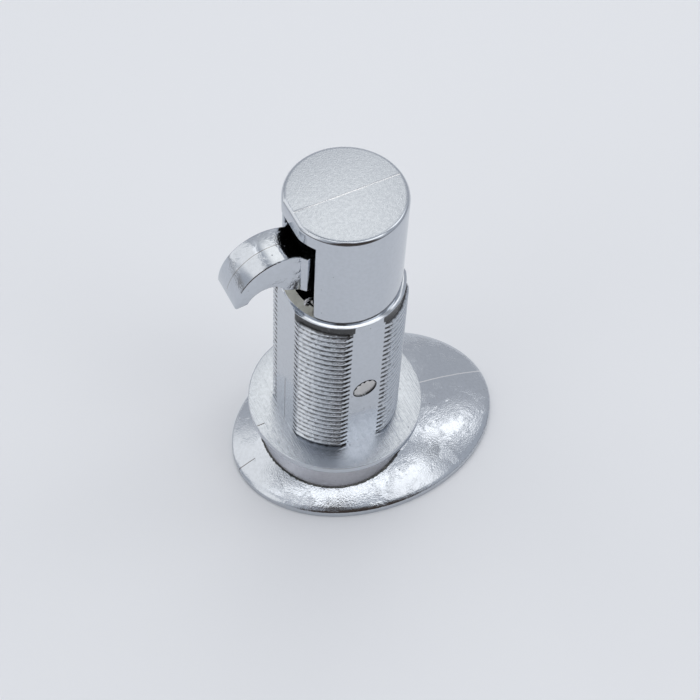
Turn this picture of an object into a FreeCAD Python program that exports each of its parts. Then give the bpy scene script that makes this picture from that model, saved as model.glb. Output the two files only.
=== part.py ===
import FreeCAD, Part
import math
import os

# Pushbutton cupboard latch, in millimetres.
# The origin is on the barrel's axis, on the flange face that bears on the door, and +Z points into
# the cupboard. The hook points to -X, and the pull plate lies below the flange, on the room side.

V = FreeCAD.Vector
X_AXIS = V(1, 0, 0)
Y_AXIS = V(0, 1, 0)
Z_AXIS = V(0, 0, 1)

# Threaded barrel: M26 x 1.5 on four sectors between four flats, with a plain band and a collar above
thread_r = 13.0
thread_end_z = 37.6
band_cut = 0.7
band_h = 2.6
collar_cut = 0.4
collar_h = 1.0
collar_chamfer = 0.35
hook_flat_cut = 1.3
pin_flat_cut = 1.15

# Head above the shoulder, closed at the top, with a slot on the hook side
head_cut = 1.35
head_h = 23.8
head_edge_r = 0.95
head_edge_steps = 3
head_flat_cut = 0.55
head_cap_t = 3.3
slot_side_t = 5.05
slot_floor_step = 0.2
wall_t = 2.0

# Door flange and the neck below it
flange_over = 5.1
flange_t = 1.75
flange_edge = 0.25
neck_in = 3.1
neck_draft = 0.6

# Oval pull plate: an ellipse whose middle lies off the barrel's axis, away from the hook
plate_depth = 15.4
rim_h = 1.75
rim_edge = 0.4
plate_half_l = 29.25
plate_half_w = 21.85
plate_shift_x = 7.05
plate_rise = 6.6
dish_depth = 4.9
dish_floor_half_l = 14.0
rim_land = 2.2

# Button: a cap in a counterbore, a hub in the bore, two slotted legs and a wedge
cap_over = 1.5
cap_gap = 0.15
cap_recess = 2.0
cap_h = 4.8
cap_edge = 0.6
hub_gap = 0.15
hub_top_z = 1.5
spring_seat_depth = 2.4
leg_t = 1.5
leg_half_w = 4.2
leg_over_slot = 2.2
leg_corner_r = 2.1
button_travel = 3.0
wedge_side_cut = 0.45
wedge_rise = 2.6
wedge_back_x = 5.0

# Cross pin that the hook turns on, pressed into the two pin flats
pin_z = 18.3
pin_r = 2.5
pin_bite = 0.1
pin_spline_l = 3.2
pin_sunk = 0.25
groove_count = 10
groove_depth = 0.42
groove_half_w = 0.75
running_gap = 0.05

# Hook lever: the beak, the wide block that fills the slot, the arm, the boss and the tail
hook_swing_deg = 10.0
beak_r = 9.4
beak_out = 3.7
beak_up = 7.1
beak_tip_t = 2.6
notch_depth = 2.5
notch_w = 7.4
notch_lead = 0.5
block_in = 0.85
block_up = 5.9
block_l = 7.2
block_side_gap = 1.8
block_flare = 0.85
block_lap = 0.8
throat_drop = 2.2
throat_out = 0.9
arm_wall_gap = 2.15
arm_lap = 2.0
boss_r = 4.6
boss_grip_deg = 20.0
tail_l = 10.5
tail_r = 1.6
tail_gap = 0.1
side_gap = 0.35

# Springs: a compression coil under the button's cap, and a torsion spring on the cross pin
button_wire_r = 0.4
button_turns = 3
latch_wire_r = 0.3
latch_turns = 3
latch_coil_gap = 0.4
latch_side_gap = 0.1
latch_turn_gap = 0.08
wall_leg_l = 13.0
leg_foot_l = 3.0
leg_bend_r = 1.3
knee_in = 3.0
knee_drop = 4.0
eye_r = 1.0
eye_turn = 0.85
eye_out = 1.6
eye_up = 1.8
wire_sides = 6
wire_steps = 14

# Radii, flats and heights that follow from the sizes above
band_r = thread_r - band_cut
collar_r = thread_r - collar_cut
head_r = thread_r - head_cut
bore_r = head_r - wall_t
hook_flat_x = thread_r - hook_flat_cut
pin_flat_y = thread_r - pin_flat_cut
head_flat_x = head_r - head_flat_cut
slot_half_w = head_r - slot_side_t
flange_r = thread_r + flange_over
neck_top_r = flange_r - neck_in
neck_foot_r = neck_top_r + neck_draft
collar_z = thread_end_z + band_h
shoulder_z = collar_z + collar_h
slot_floor_z = shoulder_z + slot_floor_step
head_top_z = shoulder_z + head_h
slot_top_z = head_top_z - head_cap_t
rim_z = -plate_depth
plate_back_z = rim_z + rim_h
dish_z = rim_z + dish_depth
cap_r = bore_r + cap_over
seat_r = cap_r + cap_gap
hub_r = bore_r - hub_gap
cap_face_z = rim_z + cap_recess
cap_back_z = cap_face_z + cap_h
spring_seat_z = -spring_seat_depth
block_half_w = slot_half_w - block_side_gap
beak_half_w = block_half_w - block_flare
wedge_half_w = beak_half_w - wedge_side_cut
arm_front = bore_r - arm_wall_gap
leg_in_y = beak_half_w + side_gap
leg_out_y = leg_in_y + leg_t
leg_slot_r = pin_r + 2 * running_gap
pin_spline_r = pin_r + pin_bite
pin_end_y = pin_flat_y - pin_sunk
wedge_slope = tail_l * math.radians(hook_swing_deg) / button_travel
block_front_x = block_in - head_r
block_back_x = block_front_x + block_l
block_low_z = shoulder_z + block_up
beak_x = block_front_x - beak_out
beak_z = shoulder_z + beak_up
crown_dx = block_lap + beak_out
hook_top_z = beak_z + math.sqrt(beak_r**2 - crown_dx**2)

# How far a cutter or a joined piece runs past the face that it crosses
over = 1.0
big = 200.0


def line(a, b):
    return Part.LineSegment(a, b).toShape()


def arc(a, b, c):
    return Part.Arc(a, b, c).toShape()


def polygon(points):
    return Part.makePolygon([V(*p) for p in points] + [V(*points[0])])


def slab(points_xz, half_w):
    """An XZ outline made a plate that reaches half_w each side of the middle plane."""
    face = Part.Face(polygon([(x, -half_w, z) for x, z in points_xz]))
    return face.extrude(V(0, 2 * half_w, 0))


def drum(r, z0, z1):
    return Part.makeCylinder(r, z1 - z0, V(0, 0, z0))


def block(x0, x1, y0, y1, z0, z1):
    return Part.makeBox(x1 - x0, y1 - y0, z1 - z0, V(x0, y0, z0))


def cross_drum(r, y0, y1, z):
    return Part.makeCylinder(r, y1 - y0, V(0, y0, z), Y_AXIS)


def is_circle_at(edge, r, z):
    curve = edge.Curve
    if curve.TypeId != "Part::GeomCircle":
        return False
    return abs(curve.Radius - r) < 1e-4 and abs(curve.Center.z - z) < 1e-4


def broken_edge(solid, size, r, z):
    """Chamfer the round edge of radius r at height z."""
    return solid.makeChamfer(size, [e for e in solid.Edges if is_circle_at(e, r, z)])


def plate():
    """The oval plate's domed back, solid down to the flat plane of its rim.

    It is turned round, squeezed to the plate's ellipse, moved to the ellipse's middle and cut flat.
    """
    low_z = rim_z - over
    r_edge = plate_half_l - rim_edge
    edge_z = plate_back_z - rim_edge
    top_z = plate_back_z + plate_rise
    half_way = V(r_edge / 2, 0, plate_back_z + plate_rise * 0.75)
    profile = Part.Wire(
        [
            line(V(0, 0, low_z), V(0, 0, top_z)),
            arc(V(0, 0, top_z), half_way, V(r_edge, 0, plate_back_z)),
            line(V(r_edge, 0, plate_back_z), V(plate_half_l, 0, edge_z)),
            line(V(plate_half_l, 0, edge_z), V(plate_half_l, 0, low_z)),
            line(V(plate_half_l, 0, low_z), V(0, 0, low_z)),
        ]
    )
    turned = Part.Face(profile).revolve(V(0, 0, 0), Z_AXIS, 360)
    squeeze = FreeCAD.Matrix()
    squeeze.scale(1, plate_half_w / plate_half_l, 1)
    oval = turned.transformGeometry(squeeze)
    oval.translate(V(plate_shift_x, 0, 0))
    return oval.cut(block(-big, big, -big, big, -big, rim_z))


def oval_wire(half_l, z):
    """An ellipse of the plate's proportions and middle."""
    at = V(plate_shift_x, 0, z)
    half_w = half_l * plate_half_w / plate_half_l
    oval = Part.Ellipse(at + V(half_l, 0, 0), at + V(0, half_w, 0), at)
    return Part.Wire(oval.toShape())


def dish():
    """The hollow in the plate's front: a flat floor round the button and a wall sloping to the rim."""
    land_l = plate_half_l - rim_land
    slope = (land_l - dish_floor_half_l) / dish_depth
    low_l = land_l + slope * over
    return Part.makeLoft([oval_wire(dish_floor_half_l, dish_z), oval_wire(low_l, rim_z - over)], True, True)


def neck():
    """The drafted neck, from the flange down into the plate's wall."""
    return Part.makeCone(neck_foot_r, neck_top_r, -flange_t - plate_back_z, V(0, 0, plate_back_z))


def flange():
    disc = drum(flange_r, -flange_t, 0)
    return disc.makeChamfer(flange_edge, [e for e in disc.Edges if e.Curve.TypeId == "Part::GeomCircle"])


def barrel():
    """The barrel at the thread's crest, with its plain band, its collar and its four flats.

    The flats towards and away from the hook cut the collar too. The pin flats end below it.
    """
    crest = drum(thread_r, -flange_t / 2, thread_end_z)
    band = drum(band_r, thread_end_z, collar_z)
    collar = drum(collar_r, collar_z, shoulder_z)
    collar = broken_edge(collar, collar_chamfer, collar_r, shoulder_z)
    whole = crest.fuse([band, collar])
    for side in (-1, 1):
        a, b = sorted((side * hook_flat_x, side * big))
        whole = whole.cut(block(a, b, -big, big, 0, shoulder_z))
        a, b = sorted((side * pin_flat_y, side * big))
        whole = whole.cut(block(-big, big, a, b, 0, collar_z))
    return whole


def head():
    """The plain head with its rounded top edge and the flat above the slot."""
    low_z = shoulder_z - over
    points = [(0, head_top_z), (0, low_z), (head_r, low_z)]
    for i in range(head_edge_steps + 1):
        a = math.pi / 2 * i / head_edge_steps
        x = head_r - head_edge_r * (1 - math.cos(a))
        points.append((x, head_top_z - head_edge_r * (1 - math.sin(a))))
    whole = Part.Face(polygon([(x, 0, z) for x, z in points])).revolve(V(0, 0, 0), Z_AXIS, 360)
    return whole.cut(block(-big, -head_flat_x, -big, big, shoulder_z, big))


def body():
    """One casting: plate, neck, flange, barrel and head, with the bore, the slot and the pin hole."""
    solid = plate().fuse([neck(), flange(), barrel(), head()])
    solid = solid.cut(dish())
    solid = solid.cut(drum(bore_r, rim_z - over, slot_top_z))
    solid = solid.cut(drum(seat_r, rim_z - over, spring_seat_z))
    solid = solid.cut(block(-big, 0, -slot_half_w, slot_half_w, slot_floor_z, slot_top_z))
    solid = solid.cut(cross_drum(pin_spline_r, -big, big, pin_z))
    return solid.removeSplitter()


def pivot_pin():
    """A splined pin: the grooved ends bite in the casting, and the plain middle carries the hook."""
    solid = cross_drum(pin_r, -pin_end_y, pin_end_y, pin_z)
    plain_y = pin_end_y - pin_spline_l
    for side in (-1, 1):
        y0, y1 = sorted((side * pin_end_y, side * plain_y))
        solid = solid.fuse(cross_drum(pin_spline_r, y0, y1, pin_z))
    groove_v = [
        (-groove_half_w, pin_spline_r + groove_depth),
        (0, pin_spline_r - groove_depth),
        (groove_half_w, pin_spline_r + groove_depth),
    ]
    for i in range(groove_count):
        groove = slab(groove_v, pin_end_y + over)
        groove = groove.cut(block(-big, big, -plain_y, plain_y, -big, big))
        groove.rotate(V(0, 0, 0), Y_AXIS, 360 * (i + 0.5) / groove_count)
        groove.translate(V(0, 0, pin_z))
        solid = solid.cut(groove)
    return solid.removeSplitter()


def wedge():
    """The button's wedge, whose slope meets the hook's tail and pushes it to -X as it rises."""
    length = math.hypot(1, wedge_slope)
    reach = (tail_r + tail_gap) / length
    contact_x = reach
    contact_z = pin_z - tail_l - reach * wedge_slope
    top_z = contact_z + wedge_rise
    low_z = hub_top_z - over
    lean = wedge_slope * wedge_rise
    points = [
        (contact_x + lean, top_z),
        (wedge_back_x, top_z),
        (wedge_back_x, low_z),
        (contact_x - lean, low_z),
        (contact_x - lean, contact_z - wedge_rise),
    ]
    return slab(points, wedge_half_w)


def button_leg(side):
    """One leg with the long hole that the cross pin runs in and that keeps the button in."""
    y0, y1 = sorted((side * leg_in_y, side * leg_out_y))
    top_z = pin_z + leg_slot_r + leg_over_slot
    leg = block(-leg_half_w, leg_half_w, y0, y1, hub_top_z - over, top_z)
    corners = [e for e in leg.Edges if e.BoundBox.ZMin > top_z - 1e-3 and e.BoundBox.YLength > leg_t / 2]
    leg = leg.makeFillet(leg_corner_r, corners)
    low_z = pin_z - button_travel
    leg = leg.cut(cross_drum(leg_slot_r, y0 - over, y1 + over, pin_z))
    leg = leg.cut(cross_drum(leg_slot_r, y0 - over, y1 + over, low_z))
    return leg.cut(block(-leg_slot_r, leg_slot_r, y0 - over, y1 + over, low_z, pin_z))


def push_button():
    cap = broken_edge(drum(cap_r, cap_face_z, cap_back_z), cap_edge, cap_r, cap_face_z)
    hub = drum(hub_r, cap_back_z - over, hub_top_z)
    return cap.fuse([hub, wedge(), button_leg(-1), button_leg(1)]).removeSplitter()


def hook_beak():
    """The beak: a quarter round outside, a flat tip and the notch behind it."""
    y = -beak_half_w
    tip = V(beak_x - beak_r, y, beak_z)
    crown = V(beak_x, y, beak_z + beak_r)
    top = V(beak_x + crown_dx, y, hook_top_z)
    notch_start = V(tip.x + beak_tip_t, y, beak_z + notch_lead)
    notch_top = V(notch_start.x + notch_w / 2, y, notch_start.z + notch_depth)
    notch_end = V(notch_start.x + notch_w, y, beak_z)
    back_top = V(block_back_x, y, hook_top_z)
    back_low = V(block_back_x, y, block_low_z)
    root = V(block_front_x, y, block_low_z)
    outline = Part.Wire(
        [
            arc(tip, crown, top),
            line(top, back_top),
            line(back_top, back_low),
            line(back_low, root),
            line(root, notch_end),
            arc(notch_end, notch_top, notch_start),
            line(notch_start, tip),
        ]
    )
    return Part.Face(outline).extrude(V(0, 2 * beak_half_w, 0))


def hook_block():
    """The wide block in the slot, whose front corners flare out from the beak at 45 degrees."""
    flare_x = block_front_x + block_flare
    outline = [
        (block_front_x, -beak_half_w, block_low_z),
        (flare_x, -block_half_w, block_low_z),
        (block_back_x, -block_half_w, block_low_z),
        (block_back_x, block_half_w, block_low_z),
        (flare_x, block_half_w, block_low_z),
        (block_front_x, beak_half_w, block_low_z),
    ]
    return Part.Face(polygon(outline)).extrude(V(0, 0, hook_top_z - block_low_z))


def hook_arm():
    """The arm from the block down to the boss, as wide as the beak."""
    grip = math.radians(boss_grip_deg)
    grip_x = boss_r * math.cos(grip)
    grip_z = pin_z + boss_r * math.sin(grip)
    inner_x = block_front_x + block_in + throat_out / 2
    return slab(
        [
            (block_back_x, hook_top_z - arm_lap),
            (grip_x, grip_z),
            (0, pin_z),
            (-grip_x, grip_z),
            (-arm_front, slot_floor_z),
            (-arm_front - throat_out, block_low_z - throat_drop),
            (inner_x, block_low_z),
            (inner_x, hook_top_z - arm_lap),
        ],
        beak_half_w,
    )


def latch_hook():
    boss = cross_drum(boss_r, -beak_half_w, beak_half_w, pin_z)
    tail_z = pin_z - tail_l
    tail = block(-tail_r, tail_r, -wedge_half_w, wedge_half_w, tail_z, pin_z)
    nose = cross_drum(tail_r, -wedge_half_w, wedge_half_w, tail_z)
    solid = hook_beak().fuse([hook_block(), hook_arm(), boss, tail, nose])
    solid = solid.cut(cross_drum(pin_r + running_gap, -big, big, pin_z))
    return solid.removeSplitter()


def wire_section(center, along, side, wire_r):
    """A flat-sided section of round wire, square to the wire's direction."""
    up = along.cross(side).normalize()
    out = up.cross(along).normalize()
    points = []
    for i in range(wire_sides):
        a = 2 * math.pi * (i + 0.5) / wire_sides
        points.append(center + out * (wire_r * math.cos(a)) + up * (wire_r * math.sin(a)))
    return Part.makePolygon(points + [points[0]])


def coil(coil_r, pitch, turns, wire_r):
    """A wire helix round +Z that starts on +X."""
    sections = []
    steps = round(wire_steps * turns)
    for i in range(steps + 1):
        t = turns * i / steps
        a = 2 * math.pi * t
        side = V(math.cos(a), math.sin(a), 0)
        center = side * coil_r + V(0, 0, pitch * t)
        along = V(-side.y, side.x, 0) * (2 * math.pi * coil_r) + V(0, 0, pitch)
        sections.append(wire_section(center, along, side, wire_r))
    return Part.makeLoft(sections, True, True)


def button_spring():
    """A short coil of large diameter round the hub, with ground ends on the cap and the seat."""
    pitch = (spring_seat_z - cap_back_z) / button_turns
    spring = coil((hub_r + seat_r) / 2, pitch, button_turns, button_wire_r)
    spring.translate(V(0, 0, cap_back_z))
    return spring.common(drum(seat_r, cap_back_z, spring_seat_z))


def bent_wire(points, bend_r, wire_r):
    """A wire along straight runs with tangent bends."""
    pts = [V(*p) for p in points]
    edges = []
    at = pts[0]
    for a, b, c in zip(pts, pts[1:], pts[2:]):
        u = (a - b).normalize()
        w = (c - b).normalize()
        half = u.getAngle(w) / 2
        back = bend_r / math.tan(half)
        mid = b + (u + w).normalize() * (bend_r / math.sin(half) - bend_r)
        edges.append(line(at, b + u * back))
        edges.append(arc(b + u * back, mid, b + w * back))
        at = b + w * back
    edges.append(line(at, pts[-1]))
    section = wire_section(pts[0], pts[1] - pts[0], Y_AXIS, wire_r)
    return Part.Wire(edges).makePipeShell([section], True, True)


def across_pin(wire, x, y, z):
    """Turn a coil so that its axis lies along the pin, and put its start at the given place."""
    wire.rotate(V(0, 0, 0), X_AXIS, 90)
    wire.translate(V(x, y, z))
    return wire


def latch_spring():
    """The torsion spring on the pin: one leg on the bore's wall, one to the hook, with an open eye."""
    coil_r = pin_r + latch_coil_gap + latch_wire_r
    pitch = 2 * latch_wire_r + latch_turn_gap
    y_in = -(leg_out_y + latch_side_gap + latch_wire_r)
    y_out = y_in - pitch * latch_turns
    turns = across_pin(coil(coil_r, pitch, latch_turns, latch_wire_r), 0, y_in, pin_z)
    wall_x = math.sqrt((bore_r - latch_wire_r - latch_turn_gap) ** 2 - y_in**2)
    foot_z = pin_z + leg_foot_l
    wall_leg = [(coil_r, y_in, pin_z), (coil_r, y_in, foot_z), (wall_x, y_in, pin_z + wall_leg_l)]
    eye_x = -arm_front - eye_out
    eye_y = -(beak_half_w + side_gap + latch_wire_r)
    eye_z = slot_floor_z + eye_up
    hook_leg = [
        (coil_r, y_out, pin_z),
        (coil_r, y_out, foot_z),
        (knee_in - arm_front, y_in, slot_floor_z - knee_drop),
        (eye_x + eye_r, eye_y, eye_z),
    ]
    eye = across_pin(coil(eye_r, 0, eye_turn, latch_wire_r), eye_x, eye_y, eye_z)
    legs = [bent_wire(leg, leg_bend_r, latch_wire_r) for leg in (wall_leg, hook_leg)]
    return turns.fuse(legs + [eye])


NODES = {
    "body": body,
    "push_button": push_button,
    "button_spring": button_spring,
    "latch_hook": latch_hook,
    "pivot_pin": pivot_pin,
    "latch_spring": latch_spring,
}


def main():
    os.makedirs("parts", exist_ok=True)
    for name, make in NODES.items():
        shape = make()
        print(name, "valid", shape.isValid(), "solids", len(shape.Solids), "volume", round(shape.Volume, 1))
        shape.exportStep(f"parts/{name}.step")


main()
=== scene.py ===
# %% [markdown]
# A chromed pushbutton cupboard latch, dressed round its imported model.
# The model's solids give every place and size. This lesson rebuilds each one as a finer mesh, with
# the thread, the broken edges and the casting's parting line, and then gives it a procedural finish.
# All lengths below are in millimetres until a finished mesh is scaled to metres. The finishes, the
# floor, the lamp and the camera are in metres.

# %% Load the frame
import math

import bmesh
import bpy
from mathutils import Matrix, Vector


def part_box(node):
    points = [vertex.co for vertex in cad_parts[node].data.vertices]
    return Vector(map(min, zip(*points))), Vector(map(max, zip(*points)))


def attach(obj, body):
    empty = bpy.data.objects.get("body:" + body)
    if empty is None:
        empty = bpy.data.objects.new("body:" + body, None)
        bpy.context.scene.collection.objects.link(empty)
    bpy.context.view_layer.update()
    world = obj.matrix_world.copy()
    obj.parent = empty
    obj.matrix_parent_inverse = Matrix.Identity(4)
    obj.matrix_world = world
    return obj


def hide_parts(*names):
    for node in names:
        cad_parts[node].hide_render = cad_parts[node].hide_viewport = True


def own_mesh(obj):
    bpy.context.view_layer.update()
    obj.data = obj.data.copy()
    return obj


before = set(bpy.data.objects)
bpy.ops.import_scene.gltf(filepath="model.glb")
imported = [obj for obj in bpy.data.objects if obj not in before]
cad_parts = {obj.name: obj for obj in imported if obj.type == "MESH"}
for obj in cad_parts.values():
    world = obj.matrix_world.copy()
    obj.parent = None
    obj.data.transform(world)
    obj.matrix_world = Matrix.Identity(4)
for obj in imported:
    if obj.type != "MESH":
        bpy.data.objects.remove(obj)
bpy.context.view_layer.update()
MM = 0.001
body_low, body_high = (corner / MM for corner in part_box("body"))
print("body box in mm", [round(v, 2) for v in (*body_low, *body_high)])

# %% [markdown]
# The sizes are the casting's own. What the frame can tell, such as the rim's height and the plate's
# outline, is read from it. The rest repeats the construction's driving sizes.

# %% Sizes of the casting
rim_z = body_low.z
head_top_z = body_high.z
plate_half_l = (body_high.x - body_low.x) / 2
plate_half_w = (body_high.y - body_low.y) / 2
plate_mid_x = (body_high.x + body_low.x) / 2
plate_squeeze = plate_half_w / plate_half_l
rim_h = 1.75
rim_edge = 0.4
plate_rise = 6.6
dish_depth = 4.9
dish_floor_half_l = 14.0
rim_land = 2.2
plate_back_z = rim_z + rim_h

thread_r = 13.0
thread_end_z = 38.2
thread_pitch = 1.5
thread_depth = 0.7
band_r = thread_r - thread_depth
collar_r = 12.4
shoulder_z = 40.85
collar_z = shoulder_z - 0.45
hook_flat_x = 11.7
pin_flat_y = 11.85

head_r = 11.65
head_edge_r = 0.95
head_flat_x = 11.1
slot_half_w = 6.3
slot_floor_z = 41.4
slot_top_z = 61.7
slot_edge_r = 0.5
bore_r = 9.65
seat_r = 11.3
spring_seat_z = -2.4
flange_r = 18.1
flange_t = 1.75
neck_top_r = 15.0
neck_foot_r = 15.6
pin_z = 18.3
pin_r = 2.5
pin_spline_r = 2.6
print("plate in mm", round(2 * plate_half_l, 1), "by", round(2 * plate_half_w, 1))

# %% [markdown]
# A turned shape is a path of radius and height, spun round Z. Its corners are arcs, because no cast
# edge is truly sharp and a chromed edge always shows a thin bright line.


# %% Helpers for turned solids
def rounded_path(corners, steps=4):
    """A path through (radius, height, corner radius) points, each rounded corner an arc."""
    path = []
    for i, (r, z, size) in enumerate(corners):
        here = Vector((r, z))
        if size == 0:
            path.append(here)
            continue
        back_way = (Vector(corners[i - 1][:2]) - here).normalized()
        on_way = (Vector(corners[i + 1][:2]) - here).normalized()
        half = back_way.angle(on_way) / 2
        middle = here + (back_way + on_way).normalized() * (size / math.sin(half))
        spoke = here + back_way * (size / math.tan(half)) - middle
        turn = math.pi - 2 * half
        if back_way.x * on_way.y - back_way.y * on_way.x > 0:
            turn = -turn
        for k in range(steps + 1):
            c, s = math.cos(turn * k / steps), math.sin(turn * k / steps)
            path.append(middle + Vector((spoke.x * c - spoke.y * s, spoke.x * s + spoke.y * c)))
    return path


def turned(path, steps=192, closed=False):
    """A solid turned round Z from a path of radius and height."""
    bm = bmesh.new()
    verts = [bm.verts.new((p[0], 0, p[1])) for p in path]
    pairs = list(zip(verts, verts[1:]))
    if closed:
        pairs.append((verts[-1], verts[0]))
    edges = [bm.edges.new(pair) for pair in pairs]
    bmesh.ops.spin(
        bm, geom=verts + edges, cent=(0, 0, 0), axis=(0, 0, 1), angle=math.tau, steps=steps, use_merge=True
    )
    bmesh.ops.remove_doubles(bm, verts=bm.verts, dist=1e-4)
    bmesh.ops.recalc_face_normals(bm, faces=bm.faces)
    return bm


# %% [markdown]
# Other shapes start as a cube, or as an outline that is extruded along Y or up Z.


# %% Helpers for blocks, plates and rods
def box_solid(low, high):
    """A block between two corners."""
    low, high = Vector(low), Vector(high)
    bm = bmesh.new()
    bmesh.ops.create_cube(bm, size=1)
    bmesh.ops.scale(bm, vec=high - low, verts=bm.verts)
    bmesh.ops.translate(bm, vec=(low + high) / 2, verts=bm.verts)
    return bm


def slab(points, half_w):
    """An outline of (x, z) points made a plate that reaches half_w each side of y = 0."""
    bm = bmesh.new()
    face = bm.faces.new([bm.verts.new((x, -half_w, z)) for x, z in points])
    grown = bmesh.ops.extrude_face_region(bm, geom=[face])["geom"]
    moved = [v for v in grown if isinstance(v, bmesh.types.BMVert)]
    bmesh.ops.translate(bm, vec=(0, 2 * half_w, 0), verts=moved)
    bmesh.ops.recalc_face_normals(bm, faces=bm.faces)
    return bm


def standing(outline, low_z, high_z):
    """An outline of (x, y) points raised from one height to another."""
    bm = bmesh.new()
    foot = bm.faces.new([bm.verts.new((x, y, low_z)) for x, y in outline])
    raised = bmesh.ops.extrude_face_region(bm, geom=[foot])["geom"]
    moved = [v for v in raised if isinstance(v, bmesh.types.BMVert)]
    bmesh.ops.translate(bm, vec=(0, 0, high_z - low_z), verts=moved)
    bmesh.ops.recalc_face_normals(bm, faces=bm.faces)
    return bm


def arc_points(middle_u, middle_v, r, start_deg, end_deg, steps):
    """Points on an arc in a plane."""
    turns = [math.radians(start_deg + (end_deg - start_deg) * k / steps) for k in range(steps + 1)]
    return [(middle_u + r * math.cos(a), middle_v + r * math.sin(a)) for a in turns]


def laid_on_y(bm, z):
    """Turn a shape from the Z axis to the Y axis, at the height z."""
    bmesh.ops.rotate(bm, cent=(0, 0, 0), matrix=Matrix.Rotation(-math.pi / 2, 3, "X"), verts=bm.verts)
    bmesh.ops.translate(bm, vec=(0, 0, z), verts=bm.verts)
    return bm


def rod_along_y(r, half_l, z, steps=96):
    """A plain rod along Y."""
    rod = turned([(0, -half_l), (r, -half_l), (r, half_l), (0, half_l)], steps)
    return laid_on_y(rod, z)


# %% [markdown]
# Closed solids are joined and cut by boolean modifiers with the exact solver. Each finished mesh is
# scaled to metres, dressed, and given to the piece of the model that it takes the place of.


# %% Helpers that join, cut and finish
def as_object(bm, name):
    """The bmesh as an object in the scene, with the bmesh set free."""
    mesh = bpy.data.meshes.new(name)
    bm.to_mesh(mesh)
    bm.free()
    made = bpy.data.objects.new(name, mesh)
    bpy.context.scene.collection.objects.link(made)
    return made


def carved(base, name, steps):
    """Join solids to base or cut them from it, in order, and return one bmesh."""
    solid = as_object(base, name + "_blank")
    tools = []
    for operation, bm in steps:
        tool = as_object(bm, name + "_tool")
        cut = solid.modifiers.new(operation, "BOOLEAN")
        cut.operation = operation
        cut.solver = "EXACT"
        cut.object = tool
        tools.append(tool)
    mesh = bpy.data.meshes.new_from_object(solid.evaluated_get(bpy.context.evaluated_depsgraph_get()))
    result = bmesh.new()
    result.from_mesh(mesh)
    bpy.data.meshes.remove(mesh)
    for used in [solid, *tools]:
        bpy.data.objects.remove(used)
    bmesh.ops.remove_doubles(result, verts=result.verts, dist=1e-4)
    return result


def finished(bm, name, body, materials, node, zone=None, sharp_deg=28):
    """Scale a mesh to metres, shade it, give it its materials and set it in the frame."""
    if zone:
        for face in bm.faces:
            face.material_index = zone(face.calc_center_median(), face.normal)
    bmesh.ops.scale(bm, vec=(MM, MM, MM), verts=bm.verts)
    open_edges = sum(1 for edge in bm.edges if not edge.is_manifold)
    piece = as_object(bm, name)
    piece.data.shade_smooth()
    piece.data.set_sharp_from_angle(angle=math.radians(sharp_deg))
    for material in materials:
        piece.data.materials.append(material)
    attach(piece, body)
    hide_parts(node)
    print(name, "faces", len(piece.data.polygons), "open edges", open_edges)
    return piece


# %% [markdown]
# The thread is cut in a round barrel, and four flats then cut its crests away, so its grooves run out
# on each flat in a row of small wedges. One way is a swept tooth, which leaves ragged ends. Here the
# barrel is turned plain with many rows, the rows are slanted to the thread's lead, and each vertex
# sinks by the thread's form and then to the flat. The join of the slanted rows lies inside a flat.
# The columns are drawn closer together where the grooves run out.

# %% Sizes of the thread
rows_per_pitch = 10
columns = 216
crest_share = 0.16
root_share = 0.16
column_pull = 0.6


def thread_form(turns):
    """How deep the groove is, from 0 on the crest to 1 in the root, at a number of turns."""
    depth = 1 - abs(2 * (turns % 1.0) - 1)
    return min(max((depth - crest_share) / (1 - crest_share - root_share), 0), 1)


def gather_columns(bm):
    """Draw the columns together near 22.5 degrees from each axis, where the flats meet the crests."""
    for v in bm.verts:
        angle = math.atan2(v.co.y, v.co.x)
        angle += column_pull / 8 * math.sin(8 * angle)
        radius = math.hypot(v.co.x, v.co.y)
        v.co.x, v.co.y = radius * math.cos(angle), radius * math.sin(angle)


def cut_thread(bm):
    """Slant the barrel's rows and sink the groove into them."""
    for v in bm.verts:
        radius = math.hypot(v.co.x, v.co.y)
        if abs(radius - thread_r) > 0.02:
            continue
        turns = math.atan2(v.co.y, v.co.x) / math.tau % 1.0
        z = min(max(v.co.z + thread_pitch * (turns - 0.5), 0), thread_end_z)
        depth = thread_depth * thread_form(z / thread_pitch - turns)
        share = (thread_r - depth) / radius
        v.co = (v.co.x * share, v.co.y * share, z)


def press_flats(bm):
    """Sink what stands out past the flats. The pin's flats end below the collar."""
    for v in bm.verts:
        if not (-1e-4 < v.co.z < shoulder_z + 1e-4 and math.hypot(v.co.x, v.co.y) < thread_r + 0.02):
            continue
        share = min(1, hook_flat_x / max(abs(v.co.x), 1e-6))
        if v.co.z < collar_z - 1e-4:
            share = min(share, pin_flat_y / max(abs(v.co.y), 1e-6))
        v.co.x *= share
        v.co.y *= share


def flatten_head(bm):
    """Cut the head's flat, and let the rounded top edge follow it."""
    for v in bm.verts:
        radius = math.hypot(v.co.x, v.co.y)
        if v.co.z > shoulder_z + 0.01 and head_r - head_edge_r - 0.01 < radius < head_r + 0.01:
            v.co.x = max(v.co.x, head_r - head_flat_x - radius)


def scored(bm, normal, offsets):
    """Cut edges into the mesh where planes with this normal cross it."""
    for offset in offsets:
        bmesh.ops.bisect_plane(
            bm,
            geom=[*bm.verts, *bm.edges, *bm.faces],
            plane_co=Vector(normal) * offset,
            plane_no=normal,
            dist=1e-5,
        )


# %% [markdown]
# The shank is one turned path, from the neck's foot to the head's top. The thread and the flats then
# move its vertices. Three scored lines across the head's top let the middle one rise a little, which
# makes the parting line that the light catches.

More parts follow.
